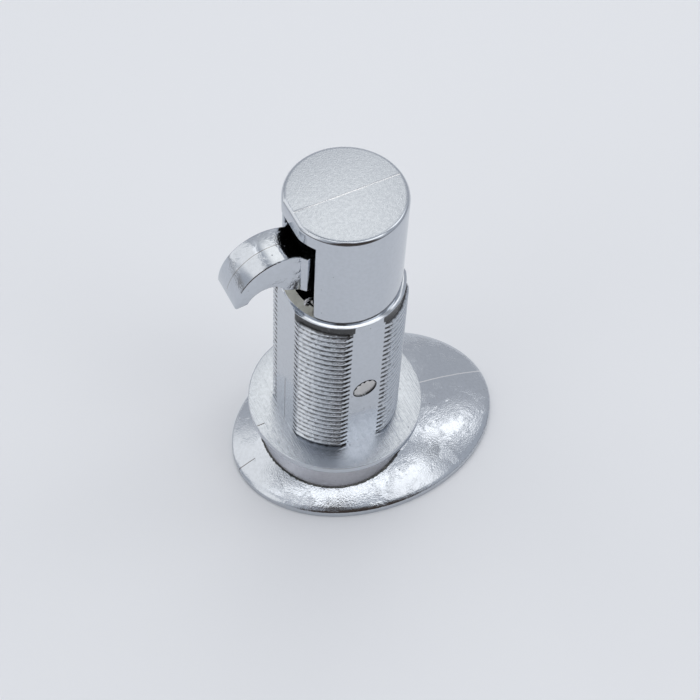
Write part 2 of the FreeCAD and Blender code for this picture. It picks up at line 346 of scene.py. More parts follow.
# %% Turn the shank: neck, flange, barrel, shoulder and head
line_half_w = 0.16
line_h = 0.09
row_h = thread_pitch / rows_per_pitch
row_count = math.ceil((thread_end_z + thread_pitch) / row_h)
rows = [Vector((thread_r, row_h * k - thread_pitch / 2)) for k in range(row_count + 1)]
below = rounded_path(
    [
        (0, rim_z + 1, 0),
        (neck_foot_r, rim_z + 1, 0),
        (neck_top_r, -flange_t, 0.3),
        (flange_r, -flange_t, 0.3),
        (flange_r, 0, 0.22),
        (thread_r + 0.25, 0, 0),
    ]
)
above = rounded_path(
    [
        (band_r, thread_end_z + 0.35, 0),
        (band_r, collar_z - 0.01, 0),
        (collar_r, collar_z, 0.08),
        (collar_r, shoulder_z - 0.3, 0.1),
        (head_r + 0.2, shoulder_z, 0.05),
        (head_r, shoulder_z, 0),
        (head_r, head_top_z, head_edge_r),
        (0, head_top_z, 0),
    ],
    steps=5,
)
shank = turned(below + rows + above, columns)
gather_columns(shank)
cut_thread(shank)
press_flats(shank)
flatten_head(shank)
scored(shank, (0, 1, 0), (-line_half_w, 0, line_half_w))
for v in shank.verts:
    if abs(v.co.y) < 1e-4 and v.co.z > head_top_z - 1e-4:
        v.co.z += line_h
bmesh.ops.remove_doubles(shank, verts=shank.verts, dist=1e-3)
print("shank faces", len(shank.faces))


# %% [markdown]
# The pull plate is an oval dome, dished on the room side. It is turned as a round dome and squeezed
# to an oval. The dish, the button's bore, the hook's slot and the pin's hole are closed solids that
# boolean modifiers cut away.

# %% Turn the plate and cut the casting
plate_steps = 256
dome_steps = 28


def squeezed(bm):
    """Squeeze a turned shape to the plate's oval and move it to the plate's middle."""
    bmesh.ops.scale(bm, vec=(1, plate_squeeze, 1), verts=bm.verts)
    bmesh.ops.translate(bm, vec=(plate_mid_x, 0, 0), verts=bm.verts)
    return bm


def dome_path():
    """The arc of the plate's back, from its middle to its rim."""
    reach = plate_half_l - rim_edge
    sphere_r = (reach**2 + plate_rise**2) / (2 * plate_rise)
    edge_angle = math.asin(reach / sphere_r)
    path = []
    for k in range(dome_steps + 1):
        a = edge_angle * k / dome_steps
        drop = sphere_r * (1 - math.cos(a))
        path.append(Vector((sphere_r * math.sin(a), plate_back_z + plate_rise - drop)))
    return path


def slot_tool():
    """A block that cuts the slot and rounds the two edges where the slot meets the head's wall."""
    middle_y = slot_half_w + slot_edge_r
    middle_x = -math.sqrt((head_r - slot_edge_r) ** 2 - middle_y**2)
    tangent_deg = math.degrees(math.atan2(middle_y, middle_x))
    side = [(0, slot_half_w)] + arc_points(middle_x, middle_y, slot_edge_r, 270, tangent_deg, 8)
    side.append((2 * middle_x, 2 * middle_y))
    outline = side + [(x, -y) for x, y in reversed(side)]
    return standing(outline, slot_floor_z, slot_top_z)


edge_path = rounded_path(
    [
        (plate_half_l - rim_edge, plate_back_z, 0),
        (plate_half_l, plate_back_z - rim_edge, 0.3),
        (plate_half_l, rim_z, 0.15),
        (0, rim_z, 0),
    ]
)
plate = squeezed(turned(dome_path() + edge_path[1:], plate_steps))
land_l = plate_half_l - rim_land
dish_slope = (land_l - dish_floor_half_l) / dish_depth
dish = squeezed(
    turned(
        rounded_path(
            [
                (0, rim_z - 1, 0),
                (land_l + dish_slope, rim_z - 1, 0),
                (dish_floor_half_l, rim_z + dish_depth, 1.5),
                (0, rim_z + dish_depth, 0),
            ]
        ),
        plate_steps,
    )
)
bore = turned(
    rounded_path(
        [
            (0, rim_z - 2, 0),
            (seat_r, rim_z - 2, 0),
            (seat_r, spring_seat_z, 0.2),
            (bore_r, spring_seat_z, 0),
            (bore_r, slot_top_z, 0.3),
            (0, slot_top_z, 0),
        ]
    )
)
slot_cut = slot_tool()
casting = carved(
    plate,
    "casting",
    [
        ("UNION", shank),
        ("DIFFERENCE", dish),
        ("DIFFERENCE", bore),
        ("DIFFERENCE", slot_cut),
        ("DIFFERENCE", rod_along_y(pin_spline_r, thread_r, pin_z)),
    ],
)
print("casting faces", len(casting.faces))

# %% [markdown]
# Finishes are built from a few shared node groups. Each group gives a height or a mask that changes
# over the surface, in Object coordinates, and the material's own Principled shader takes it.

# %% Node helpers
def new_group(name, inputs, outputs):
    """An empty node group with float or vector sockets, and its input and output nodes."""
    tree = bpy.data.node_groups.new(name, "ShaderNodeTree")
    for kind, label, value in inputs:
        made = tree.interface.new_socket(label, in_out="INPUT", socket_type="NodeSocket" + kind)
        made.default_value = value
    for kind, label in outputs:
        tree.interface.new_socket(label, in_out="OUTPUT", socket_type="NodeSocket" + kind)
    return tree, tree.nodes.new("NodeGroupInput"), tree.nodes.new("NodeGroupOutput")


def node(tree, kind, links=(), **values):
    """A node with its settings, its socket values and its inputs linked."""
    made = tree.nodes.new("ShaderNode" + kind)
    for key, value in values.items():
        if hasattr(made, key):
            setattr(made, key, value)
        else:
            made.inputs[key.replace("_", " ")].default_value = value
    for socket, source in dict(links).items():
        tree.links.new(source, made.inputs[socket])
    return made


def calc(tree, operation, *sources):
    """A Math node of sockets or numbers, and its output."""
    made = tree.nodes.new("ShaderNodeMath")
    made.operation = operation
    for socket, source in zip(made.inputs, sources):
        if isinstance(source, (int, float)):
            socket.default_value = source
        else:
            tree.links.new(source, socket)
    return made.outputs[0]


def ranged(tree, value, low, high, out_low=0.0, out_high=1.0):
    """Map a value smoothly from one range to another. Every end may be a number or a socket."""
    made = tree.nodes.new("ShaderNodeMapRange")
    made.interpolation_type = "SMOOTHSTEP"
    keys = ("Value", "From Min", "From Max", "To Min", "To Max")
    for key, source in zip(keys, (value, low, high, out_low, out_high)):
        if isinstance(source, (int, float)):
            made.inputs[key].default_value = source
        else:
            tree.links.new(source, made.inputs[key])
    return made.outputs[0]


# %% [markdown]
# Chrome over a zinc casting is never a perfect mirror. It has a fine grain that sparkles where a
# bright reflection meets a dark one, a slow waviness, and a few small pits. Each effect is a height
# in millimetres or a mask, so that one Bump node can take the heights added together.

# %% Shared effects
def grain_group():
    """Fine casting grain, stronger in patches, on a slow waviness."""
    tree, given, out = new_group(
        "cast_grain",
        [
            ("Vector", "Place", (0, 0, 0)),
            ("Float", "Fine", 2400.0),
            ("Float", "Depth", 0.01),
            ("Float", "Wave", 250.0),
            ("Float", "Wave Depth", 0.02),
            ("Float", "Patches", 0.0),
        ],
        [("Float", "Height")],
    )
    place = given.outputs["Place"]
    fine = node(tree, "TexNoise", {"Vector": place, "Scale": given.outputs["Fine"]}, Detail=3.0)
    slow = node(tree, "TexNoise", {"Vector": place, "Scale": given.outputs["Wave"]}, Detail=1.0)
    where = node(tree, "TexNoise", {"Vector": place}, Scale=330.0, Detail=2.0)
    patch = ranged(tree, where.outputs["Fac"], 0.5, 0.62)
    share = calc(tree, "ADD", 1.0, calc(tree, "MULTIPLY", patch, given.outputs["Patches"]))
    grain = calc(tree, "MULTIPLY", calc(tree, "MULTIPLY", fine.outputs["Fac"], given.outputs["Depth"]), share)
    wave = calc(tree, "MULTIPLY", slow.outputs["Fac"], given.outputs["Wave Depth"])
    tree.links.new(calc(tree, "ADD", grain, wave), out.inputs["Height"])
    return tree


def pit_group():
    """Small scattered pits: 1 in a pit and 0 elsewhere."""
    tree, given, out = new_group(
        "pits",
        [
            ("Vector", "Place", (0, 0, 0)),
            ("Float", "Scale", 700.0),
            ("Float", "Size", 0.12),
            ("Float", "Share", 0.1),
        ],
        [("Float", "Mask")],
    )
    cells = node(tree, "TexVoronoi", {"Vector": given.outputs["Place"], "Scale": given.outputs["Scale"]})
    pick = node(tree, "SeparateColor", {"Color": cells.outputs["Color"]})
    chosen = calc(tree, "LESS_THAN", pick.outputs["Red"], given.outputs["Share"])
    inside = ranged(tree, cells.outputs["Distance"], given.outputs["Size"], 0.0)
    tree.links.new(calc(tree, "MULTIPLY", chosen, inside), out.inputs["Mask"])
    return tree


def brush_group():
    """Fine scratches in three directions."""
    tree, given, out = new_group(
        "brushed",
        [("Vector", "Place", (0, 0, 0)), ("Float", "Scale", 5000.0), ("Float", "Depth", 0.004)],
        [("Float", "Height")],
    )
    total = 0.0
    for turn, stretch in ((0.35, 0.05), (-0.9, 0.08), (1.3, 0.06)):
        lay = node(tree, "Mapping", {"Vector": given.outputs["Place"]})
        lay.inputs["Rotation"].default_value = (0, 0, turn)
        lay.inputs["Scale"].default_value = (1.0, stretch, 1.0)
        links = {"Vector": lay.outputs[0], "Scale": given.outputs["Scale"]}
        strokes = node(tree, "TexNoise", links, Detail=2.0)
        total = calc(tree, "ADD", total, strokes.outputs["Fac"])
    tree.links.new(calc(tree, "MULTIPLY", total, given.outputs["Depth"]), out.inputs["Height"])
    return tree


def seam_group():
    """A thin line where the die closed, at y = 0, on one side of the axis and between two heights."""
    tree, given, out = new_group(
        "seam",
        [
            ("Vector", "Place", (0, 0, 0)),
            ("Float", "Half Width", 0.0001),
            ("Float", "Side", -1.0),
            ("Float", "Inner", 0.0),
            ("Float", "Low", -1.0),
            ("Float", "High", 1.0),
        ],
        [("Float", "Mask")],
    )
    xyz = node(tree, "SeparateXYZ", {"Vector": given.outputs["Place"]})
    wobble = node(tree, "TexNoise", {"Vector": given.outputs["Place"]}, Scale=350.0)
    shift = calc(tree, "MULTIPLY", calc(tree, "SUBTRACT", wobble.outputs["Fac"], 0.5), 0.00014)
    off = calc(tree, "ABSOLUTE", calc(tree, "ADD", xyz.outputs["Y"], shift))
    out_by = calc(tree, "MULTIPLY", xyz.outputs["X"], given.outputs["Side"])
    mask = calc(tree, "LESS_THAN", off, given.outputs["Half Width"])
    mask = calc(tree, "MULTIPLY", mask, calc(tree, "GREATER_THAN", out_by, given.outputs["Inner"]))
    mask = calc(tree, "MULTIPLY", mask, calc(tree, "GREATER_THAN", xyz.outputs["Z"], given.outputs["Low"]))
    mask = calc(tree, "MULTIPLY", mask, calc(tree, "LESS_THAN", xyz.outputs["Z"], given.outputs["High"]))
    tree.links.new(mask, out.inputs["Mask"])
    return tree


def within_group():
    """1 nearer the axis than one radius and 0 past another, with an uneven edge."""
    tree, given, out = new_group(
        "within_radius",
        [
            ("Vector", "Place", (0, 0, 0)),
            ("Float", "Inner", 0.012),
            ("Float", "Outer", 0.013),
            ("Float", "Uneven", 0.0003),
        ],
        [("Float", "Mask")],
    )
    flat = node(tree, "VectorMath", {0: given.outputs["Place"]}, operation="MULTIPLY")
    flat.inputs[1].default_value = (1, 1, 0)
    radius = node(tree, "VectorMath", {0: flat.outputs[0]}, operation="LENGTH").outputs["Value"]
    rough = node(tree, "TexNoise", {"Vector": given.outputs["Place"]}, Scale=1500.0, Detail=3.0)
    shift = calc(tree, "MULTIPLY", calc(tree, "SUBTRACT", rough.outputs["Fac"], 0.5), given.outputs["Uneven"])
    mask = ranged(tree, calc(tree, "ADD", radius, shift), given.outputs["Outer"], given.outputs["Inner"])
    tree.links.new(mask, out.inputs["Mask"])
    return tree


groups = {
    "grain": grain_group(),
    "pits": pit_group(),
    "brushed": brush_group(),
    "seam": seam_group(),
    "within": within_group(),
}
print("shared effects", sorted(groups))


# %% [markdown]
# One function makes every metal. It adds grain, scratches and pits into one height for the shader's
# normal, and it lays marks over the colour: parting lines, painted highlights and painted shade.

# %% How a finish is made
chrome_tone = (0.58, 0.61, 0.655, 1.0)
pit_tone = (0.12, 0.12, 0.13, 1.0)
seam_tone = (0.16, 0.15, 0.15, 1.0)
pit_depth = 0.03


def shared(tree, effect, place, **values):
    """One of the shared effects placed in a material with its own values."""
    made = tree.nodes.new("ShaderNodeGroup")
    made.node_tree = groups[effect]
    tree.links.new(place, made.inputs["Place"])
    for key, value in values.items():
        made.inputs[key.replace("_", " ")].default_value = value
    return made.outputs[0]


def tinted(tree, mask, under, over):
    """Colour `over` where the mask is 1, on `under`, which is a colour or a socket."""
    mix = node(tree, "Mix", data_type="RGBA")
    tree.links.new(mask, mix.inputs[0])
    if isinstance(under, tuple):
        mix.inputs[6].default_value = under
    else:
        tree.links.new(under, mix.inputs[6])
    mix.inputs[7].default_value = over
    return mix.outputs[2]


def metal(name, roughness, spread=0.05, tone=chrome_tone, grain=(), pits=0.2, brush=0.0, marks=()):
    """A plated metal with grain, pits, uneven roughness, and perhaps scratches and marks of other tones."""
    material = bpy.data.materials.new(name)
    material.use_nodes = True
    tree = material.node_tree
    shader = tree.nodes["Principled BSDF"]
    shader.inputs["Metallic"].default_value = 1.0
    place = tree.nodes.new("ShaderNodeTexCoord").outputs["Object"]
    height = shared(tree, "grain", place, **dict(grain))
    if brush:
        height = calc(tree, "ADD", height, shared(tree, "brushed", place, Depth=brush))
    pit = shared(tree, "pits", place, Share=pits)
    height = calc(tree, "SUBTRACT", height, calc(tree, "MULTIPLY", pit, pit_depth))
    cloud = node(tree, "TexNoise", {"Vector": place}, Scale=1400.0, Detail=4.0, Roughness=0.6).outputs["Fac"]
    worn = ranged(tree, cloud, 0.35, 0.65)
    colour = tinted(tree, worn, tone, (*(0.95 * part for part in tone[:3]), 1.0))
    colour = tinted(tree, pit, colour, pit_tone)
    for effect, mark_tone, values in marks:
        colour = tinted(tree, shared(tree, effect, place, **values), colour, mark_tone)
    bump = node(tree, "Bump", {"Height": height}, Strength=1.0, Distance=MM)
    tree.links.new(colour, shader.inputs["Base Color"])
    tree.links.new(ranged(tree, worn, 0, 1, roughness, roughness + spread), shader.inputs["Roughness"])
    tree.links.new(bump.outputs[0], shader.inputs["Normal"])
    return material


# %% The finishes
root_shade_tone = (0.075, 0.075, 0.076, 1.0)
line_highlight_tone = (0.9, 0.9, 0.9, 1.0)
foot_shade_tone = (0.06, 0.06, 0.06, 1.0)
# Painted highlight: a bright line along the parting ridge on the head's top.
top_line_highlight = ("seam", line_highlight_tone, {"Half_Width": 0.00014, "Inner": -1.0, "Low": 0.06})
flat_seam = ("seam", seam_tone, {"Half_Width": 0.00011, "High": 0.0137})
flange_seam = ("seam", seam_tone, {"Half_Width": 0.0001, "Inner": 0.0163})
hook_seam = ("seam", (0.36, 0.36, 0.36, 1.0), {"Half_Width": 0.00008, "Inner": 0.0125, "Low": 0.05})
plate_seam = ("seam", seam_tone, {"Half_Width": 0.00009, "Inner": 0.0185})
# Painted highlight: a bright line along the parting line on the plate.
plate_line_highlight = ("seam", line_highlight_tone, {"Half_Width": 0.00012, "Inner": 0.0185, "Side": 1.0})
# Painted shade: the thread's roots and the plain band above the thread are darkened, as shade in the grooves.
thread_root_shade = ("within", root_shade_tone, {"Inner": 0.01235, "Outer": 0.01282, "Uneven": 0.0008})
# Painted shade: a thin dark ring on the plate round the neck's foot, in the crease.
neck_foot_shade = ("within", foot_shade_tone, {"Inner": 0.0158, "Outer": 0.0159, "Uneven": 0.0006})
polished = metal("polished_chrome", 0.07, grain={"Depth": 0.003, "Wave_Depth": 0.02})
flat_chrome = metal("flat_chrome", 0.11, grain={"Depth": 0.005, "Wave_Depth": 0.03}, marks=[flat_seam])
satin = metal(
    "satin_chrome",
    0.24,
    spread=0.06,
    grain={"Fine": 3600.0, "Depth": 0.045, "Wave_Depth": 0.01},
    pits=0,
    marks=[top_line_highlight],
)
cast_thread = metal(
    "cast_thread",
    0.16,
    grain={"Fine": 4200.0, "Depth": 0.045},
    pits=0.6,
    marks=[thread_root_shade],
)
brushed = metal("brushed_chrome", 0.22, spread=0.04, grain={"Depth": 0.008}, brush=0.026, marks=[flange_seam])
plate_chrome = metal(
    "plate_chrome",
    0.05,
    grain={"Fine": 3400.0, "Depth": 0.026, "Wave_Depth": 0.014, "Patches": 1.5},
    marks=[plate_seam, plate_line_highlight, neck_foot_shade],
)
hook_chrome = metal(
    "hook_chrome",
    0.06,
    grain={"Fine": 3000.0, "Depth": 0.008, "Wave_Depth": 0.035, "Patches": 6.0},
    marks=[hook_seam],
)
matte = metal("neck_chrome", 0.45, tone=(0.78, 0.78, 0.82, 1.0), grain={"Depth": 0.05}, pits=0.5)
# Painted shade: this near-black finish stands for the shade deep in the bore, the slot and the pin's hole.
painted_shade_black = metal("painted_shade_metal", 0.55, tone=(0.035, 0.035, 0.035, 1.0), grain={"Depth": 0.08}, pits=0)
bare = metal("bare_zinc", 0.5, tone=(0.86, 0.84, 0.74, 1.0), grain={"Fine": 3200.0, "Depth": 0.12}, pits=0.5)
casting_finishes = [polished, satin, cast_thread, brushed, plate_chrome, matte, painted_shade_black, bare, flat_chrome]
print("finishes on the casting", len(casting_finishes))


# %% [markdown]
# One mesh can wear several finishes. Each face of the casting picks its own by where it lies.

# %% Dress the casting
def casting_zone(at, normal):
    """Which of the casting's finishes a face wears."""
    radius = math.hypot(at.x, at.y)
    if at.z > head_top_z - 0.03:
        return casting_finishes.index(satin)
    if abs(at.z - slot_floor_z) < 0.01 and normal.z > 0.9:
        return casting_finishes.index(bare)
    # The walls deep in the bore and the slot wear the near-black finish, which is painted shade.
    if radius < bore_r + 0.02 and spring_seat_z - 0.01 < at.z < head_top_z - 1:
        return casting_finishes.index(painted_shade_black)
    in_slot = -head_flat_x + 0.05 < at.x < 0 and abs(at.y) < slot_half_w + 0.01 and radius < head_r - 0.2
    if slot_floor_z < at.z < slot_top_z + 0.01 and in_slot:
        return casting_finishes.index(painted_shade_black)
    if math.hypot(at.x, at.z - pin_z) < pin_spline_r + 0.01 and abs(at.y) > pin_flat_y - 0.5:
        return casting_finishes.index(polished)
    on_flat = abs(at.x) > hook_flat_x - 0.01 or abs(at.y) > pin_flat_y - 0.01
    if 0.01 < at.z < collar_z - 0.01 and radius > bore_r + 1:
        return casting_finishes.index(flat_chrome if on_flat else cast_thread)
    if abs(at.z) < 0.3 and normal.z > 0.9:
        return casting_finishes.index(brushed)
    if plate_back_z < at.z < -flange_t and radius < neck_foot_r + 0.1 and abs(normal.z) < 0.5:
        return casting_finishes.index(matte)
    if at.z < -flange_t:
        return casting_finishes.index(plate_chrome)
    return casting_finishes.index(polished)


finished(casting, "cast_body", "housing", casting_finishes, "body", casting_zone)

# %% [markdown]
# The hook is a lever. Its beak is a quarter round with a hollow behind the tip, and the wide block
# behind it fills the slot. The outline is drawn once, extruded and bevelled.

# %% Sizes of the hook
beak_half_w = 3.95
beak_r = 9.4
beak_x = -14.5
beak_z = 48.3
beak_tip_x = beak_x - beak_r
beak_tip_t = 2.6
notch_w = 7.4
notch_depth = 2.5
block_front_x = -10.8
block_back_x = -3.6
block_low_z = 47.1
block_half_w = 4.8
arm_front = 7.5
boss_r = 4.6
tail_l = 10.5
tail_r = 1.6
wedge_half_w = 3.5
crown_dx = 4.5
hook_top_z = beak_z + math.sqrt(beak_r**2 - crown_dx**2)
running_gap = 0.05
beak_edge_r = 0.36
block_edge_r = 0.2
notch_lift = 0.25
arm_side_share = 0.94
arm_rise_share = 0.34
arm_heel = 0.9
arm_heel_drop = 2.2
arm_inset = 1.3
arm_top_drop = 2
print("beak tip at x", beak_tip_x, "hook top at z", round(hook_top_z, 2))


def beveled(bm, size, segments=3, least_deg=25):
    """Bevel every edge that is sharper than an angle."""
    sharp = [e for e in bm.edges if e.is_manifold and e.calc_face_angle() > math.radians(least_deg)]
    bmesh.ops.bevel(
        bm,
        geom=sharp,
        offset=size,
        offset_type="OFFSET",
        segments=segments,
        profile=0.5,
        affect="EDGES",
        clamp_overlap=True,
        material=-1,
    )
    return bm


def notch_points():
    """The hollow behind the tip: a shallow arc from the block's foot to the tip's flat."""
    start_x = beak_tip_x + beak_tip_t
    half = notch_w / 2
    rise = notch_depth
    r = (half**2 + rise**2) / (2 * rise)
    spread = math.degrees(math.asin(half / r))
    middle_z = beak_z + notch_lift + rise - r
    return arc_points(start_x + half, middle_z, r, 90 - spread, 90 + spread, 20)


# %% Make the hook
crown_deg = math.degrees(math.acos(crown_dx / beak_r))
beak_outline = arc_points(beak_x, beak_z, beak_r, 180, crown_deg, 44)
beak_outline += [(block_back_x, hook_top_z), (block_back_x, block_low_z), (block_front_x, block_low_z)]
beak_outline += notch_points()
beak = beveled(slab(beak_outline, beak_half_w), beak_edge_r)
flare_x = block_front_x + block_half_w - beak_half_w
block_outline = [
    (block_front_x, -beak_half_w),
    (flare_x, -block_half_w),
    (block_back_x, -block_half_w),
    (block_back_x, block_half_w),
    (flare_x, block_half_w),
    (block_front_x, beak_half_w),
]
block = beveled(standing(block_outline, block_low_z, hook_top_z), block_edge_r)
arm = slab(
    [
        (block_back_x, hook_top_z - arm_top_drop),
        (boss_r * arm_side_share, pin_z + boss_r * arm_rise_share),
        (0, pin_z),
        (-boss_r * arm_side_share, pin_z + boss_r * arm_rise_share),
        (-arm_front, slot_floor_z),
        (-arm_front - arm_heel, block_low_z - arm_heel_drop),
        (block_front_x + arm_inset, block_low_z),
        (block_front_x + arm_inset, hook_top_z - arm_top_drop),
    ],
    beak_half_w - 0.01,
)
tail = box_solid((-tail_r, -wedge_half_w, pin_z - tail_l), (tail_r, wedge_half_w, pin_z))
hook = carved(
    beak,
    "hook",
    [
        ("UNION", block),
        ("UNION", arm),
        ("UNION", rod_along_y(boss_r, beak_half_w, pin_z)),
        ("UNION", tail),
        ("UNION", rod_along_y(tail_r, wedge_half_w, pin_z - tail_l, 48)),
        ("DIFFERENCE", rod_along_y(pin_r + running_gap, thread_r, pin_z)),
    ],
)
finished(hook, "hook_lever", "hook", [hook_chrome], "latch_hook")

# %% [markdown]
# The cross pin is pressed into the casting, and its splines bite into the hole. Its end shows on the
# barrel's near flat as a small grey disc with a black scalloped edge.

# %% Make the cross pin
pin_end_y = 11.6
spline_l = 3.2
groove_count = 10
groove_depth = 0.5
gap_w = 0.72
gap_angle = math.radians(250)
pin_columns = 160
pin_path = rounded_path(
    [
        (0, -pin_end_y, 0),
        (pin_spline_r, -pin_end_y, 0.05),
        (pin_spline_r, -pin_end_y + spline_l, 0),
        (pin_r, -pin_end_y + spline_l, 0),
        (pin_r, pin_end_y - spline_l, 0),
        (pin_spline_r, pin_end_y - spline_l, 0),
        (pin_spline_r, pin_end_y, 0.05),
        (0, pin_end_y, 0),
    ]
)
pin = turned(pin_path, pin_columns)
for v in pin.verts:
    radius = math.hypot(v.co.x, v.co.y)
    if radius > pin_r - 0.2 and abs(v.co.z) > pin_end_y - spline_l - 0.01:
        angle = math.atan2(v.co.y, v.co.x)
        turns = angle / math.tau * groove_count % 1.0
        open_side = max(0.25 + 0.75 * math.cos(angle - gap_angle), 0)
        share = 1 - open_side * (gap_w + groove_depth * max(1 - abs(turns - 0.5) * 3, 0)) / pin_spline_r
        v.co.x *= share
        v.co.y *= share
laid_on_y(pin, pin_z)
pin_steel = metal("pin_steel", 0.3, tone=(0.62, 0.61, 0.6, 1.0), grain={"Depth": 0.02}, pits=0)


def pin_zone(at, normal):
    """The pin's ends are bright, and its sides are near black: painted shade in the gap round the pin."""
    return 0 if abs(normal.y) > 0.7 else 1


finished(pin, "cross_pin", "housing", [pin_steel, painted_shade_black], "pivot_pin", pin_zone)


# %% [markdown]
# Both springs are round wire. A screw, which is a spin with a rise, makes the button's coil. The
# latch spring is one bent wire, so it is a curve with a round bevel.

# %% Wind the button's coil
cap_back_z = -8.6
button_wire_r = 0.4
button_coil_r = 10.4
button_turns = 3
wire_sharp_deg = 50
wire_steel = metal("spring_steel", 0.25, tone=(0.55, 0.55, 0.56, 1.0), grain={"Depth": 0.01}, pits=0.0)
coil = bmesh.new()
bmesh.ops.create_circle(coil, cap_ends=False, segments=14, radius=button_wire_r)
bmesh.ops.rotate(coil, cent=(0, 0, 0), matrix=Matrix.Rotation(math.pi / 2, 3, "X"), verts=coil.verts)
bmesh.ops.translate(coil, vec=(button_coil_r, 0, cap_back_z + button_wire_r), verts=coil.verts)
coil_steps = 72 * button_turns
coil_rise = spring_seat_z - cap_back_z - 2 * button_wire_r
first_ring = list(coil.edges)
spun = bmesh.ops.spin(
    coil,
    geom=[*coil.verts, *coil.edges],
    cent=(0, 0, 0),
    axis=(0, 0, 1),
    dvec=(0, 0, coil_rise / coil_steps),
    angle=math.tau * button_turns,
    steps=coil_steps,
)
last_ring = [e for e in spun["geom_last"] if isinstance(e, bmesh.types.BMEdge)]
bmesh.ops.edgeloop_fill(coil, edges=first_ring)
bmesh.ops.edgeloop_fill(coil, edges=last_ring)
bmesh.ops.recalc_face_normals(coil, faces=coil.faces)
button_coil = finished(
    coil, "button_coil", "housing", [wire_steel], "button_spring", sharp_deg=wire_sharp_deg
)
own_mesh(button_coil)

# %% [markdown]
# The latch spring's wire runs from the bore's wall to its turns beside the hook's boss, and from there
# up to the open eye at the slot's corner.

# %% Bend the latch spring
latch_wire_r = 0.3
latch_coil_r = pin_r + 0.4 + latch_wire_r
latch_pitch = 2 * latch_wire_r + 0.08
latch_turns = 3
inner_y = -6.2
outer_y = inner_y - latch_pitch * latch_turns
wire_low, wire_high = (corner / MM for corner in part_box("latch_spring"))
eye_r = 0.8
eye_x = wire_low.x + eye_r + latch_wire_r
eye_y = -4.6
eye_z = wire_high.z - eye_r - latch_wire_r
eye_start_deg = -40
eye_sweep_deg = 305
eye_steps = 14
turn_steps = 24
wall_gap = 0.08
wall_end_rise = 13
leg_rise = 3
shin_x = -4.5
shin_drop = 4
wall_x = math.sqrt((bore_r - latch_wire_r - wall_gap) ** 2 - inner_y**2)
route = [(wall_x, inner_y, pin_z + wall_end_rise), (latch_coil_r + 0.1, inner_y, pin_z + leg_rise)]
for k in range(latch_turns * turn_steps + 1):
    a = math.tau * k / turn_steps
    drop = latch_pitch * k / turn_steps
    route.append((latch_coil_r * math.cos(a), inner_y - drop, pin_z - latch_coil_r * math.sin(a)))
route += [(latch_coil_r, outer_y, pin_z + leg_rise), (shin_x, inner_y, slot_floor_z - shin_drop)]
for k in range(eye_steps + 1):
    a = math.radians(eye_start_deg + eye_sweep_deg * k / eye_steps)
    route.append((eye_x + eye_r * math.cos(a), eye_y, eye_z + eye_r * math.sin(a)))
wire = bpy.data.curves.new("latch_wire", "CURVE")
wire.dimensions = "3D"
wire.bevel_depth = latch_wire_r
wire.bevel_resolution = 4
wire.use_fill_caps = True
spline = wire.splines.new("NURBS")
spline.points.add(len(route) - 1)
for point, place in zip(spline.points, route):
    point.co = (*place, 1.0)
spline.order_u = 3
spline.use_endpoint_u = True
wire_object = bpy.data.objects.new("latch_wire", wire)
bpy.context.scene.collection.objects.link(wire_object)
wire_mesh = bpy.data.meshes.new_from_object(wire_object.evaluated_get(bpy.context.evaluated_depsgraph_get()))
bpy.data.objects.remove(wire_object)
latch_wire = bmesh.new()
latch_wire.from_mesh(wire_mesh)
bmesh.ops.remove_doubles(latch_wire, verts=latch_wire.verts, dist=1e-4)
bmesh.ops.recalc_face_normals(latch_wire, faces=latch_wire.faces)
finished(
    latch_wire, "latch_wire", "housing", [wire_steel], "latch_spring", sharp_deg=wire_sharp_deg
)

# %% [markdown]
# The button closes the bore from the room side. Its cap and hub are turned, and its legs and wedge
# are plain blocks that are joined to the hub.

# %% Sizes of the button
cap_r = 11.15
cap_face_z = -13.4
hub_r = 9.5
hub_top_z = 1.5
leg_in_y = 4.3
leg_out_y = 5.8
leg_half_w = 4.2
leg_slot_r = 2.6
leg_top_z = 23.1
leg_corner_r = 2.1
button_travel = 3.0
wedge_lean = 1.588
wedge_half_h = 2.6
wedge_back_x = 5.0
contact_x = 1.451
contact_z = 6.914
print("button cap from z", cap_face_z, "to", cap_back_z, "travel", button_travel)

# %% Make the button
button = turned(
    rounded_path(
        [
            (0, cap_face_z + 0.5, 0),
            (cap_r * 0.75, cap_face_z + 0.2, 1.0),
            (cap_r - 0.9, cap_face_z, 0.3),
            (cap_r, cap_face_z, 0.6),
            (cap_r, cap_back_z, 0.2),
            (hub_r, cap_back_z, 0),
            (hub_r, hub_top_z, 0.4),
            (0, hub_top_z, 0),
        ]
    )
)
button_steps = []
for side in (-1, 1):
    y0, y1 = sorted((side * leg_in_y, side * leg_out_y))
    leg = box_solid((-leg_half_w, y0, hub_top_z - 1), (leg_half_w, y1, leg_top_z))
    upper = [e for e in leg.edges if min(v.co.z for v in e.verts) > leg_top_z - 0.01]
    corners = [e for e in upper if abs(e.verts[0].co.y - e.verts[1].co.y) > 1]
    bmesh.ops.bevel(
        leg,
        geom=corners,
        offset=leg_corner_r,
        segments=8,
        profile=0.5,
        affect="EDGES",
        material=-1,
        clamp_overlap=True,
    )
    button_steps.append(("UNION", leg))
wedge_outline = [
    (contact_x + wedge_lean, contact_z + wedge_half_h),
    (wedge_back_x, contact_z + wedge_half_h),
    (wedge_back_x, hub_top_z - 1),
    (contact_x - wedge_lean, hub_top_z - 1),
    (contact_x - wedge_lean, contact_z - wedge_half_h),
]
button_steps.append(("UNION", slab(wedge_outline, wedge_half_w)))
hole = arc_points(0, pin_z, leg_slot_r, 0, 180, 24)
hole += [(-x, 2 * pin_z - button_travel - z) for x, z in hole]
button_steps.append(("DIFFERENCE", slab(hole, thread_r)))
button = carved(button, "button", button_steps)
finished(button, "room_button", "button", [polished], "push_button")

# %% [markdown]
# The latch stands on a large pale sheet in a plain studio. Chrome shows its surroundings more than
# itself, so the floor is dark past the sheet's front edge, but only for what the chrome sees of it.

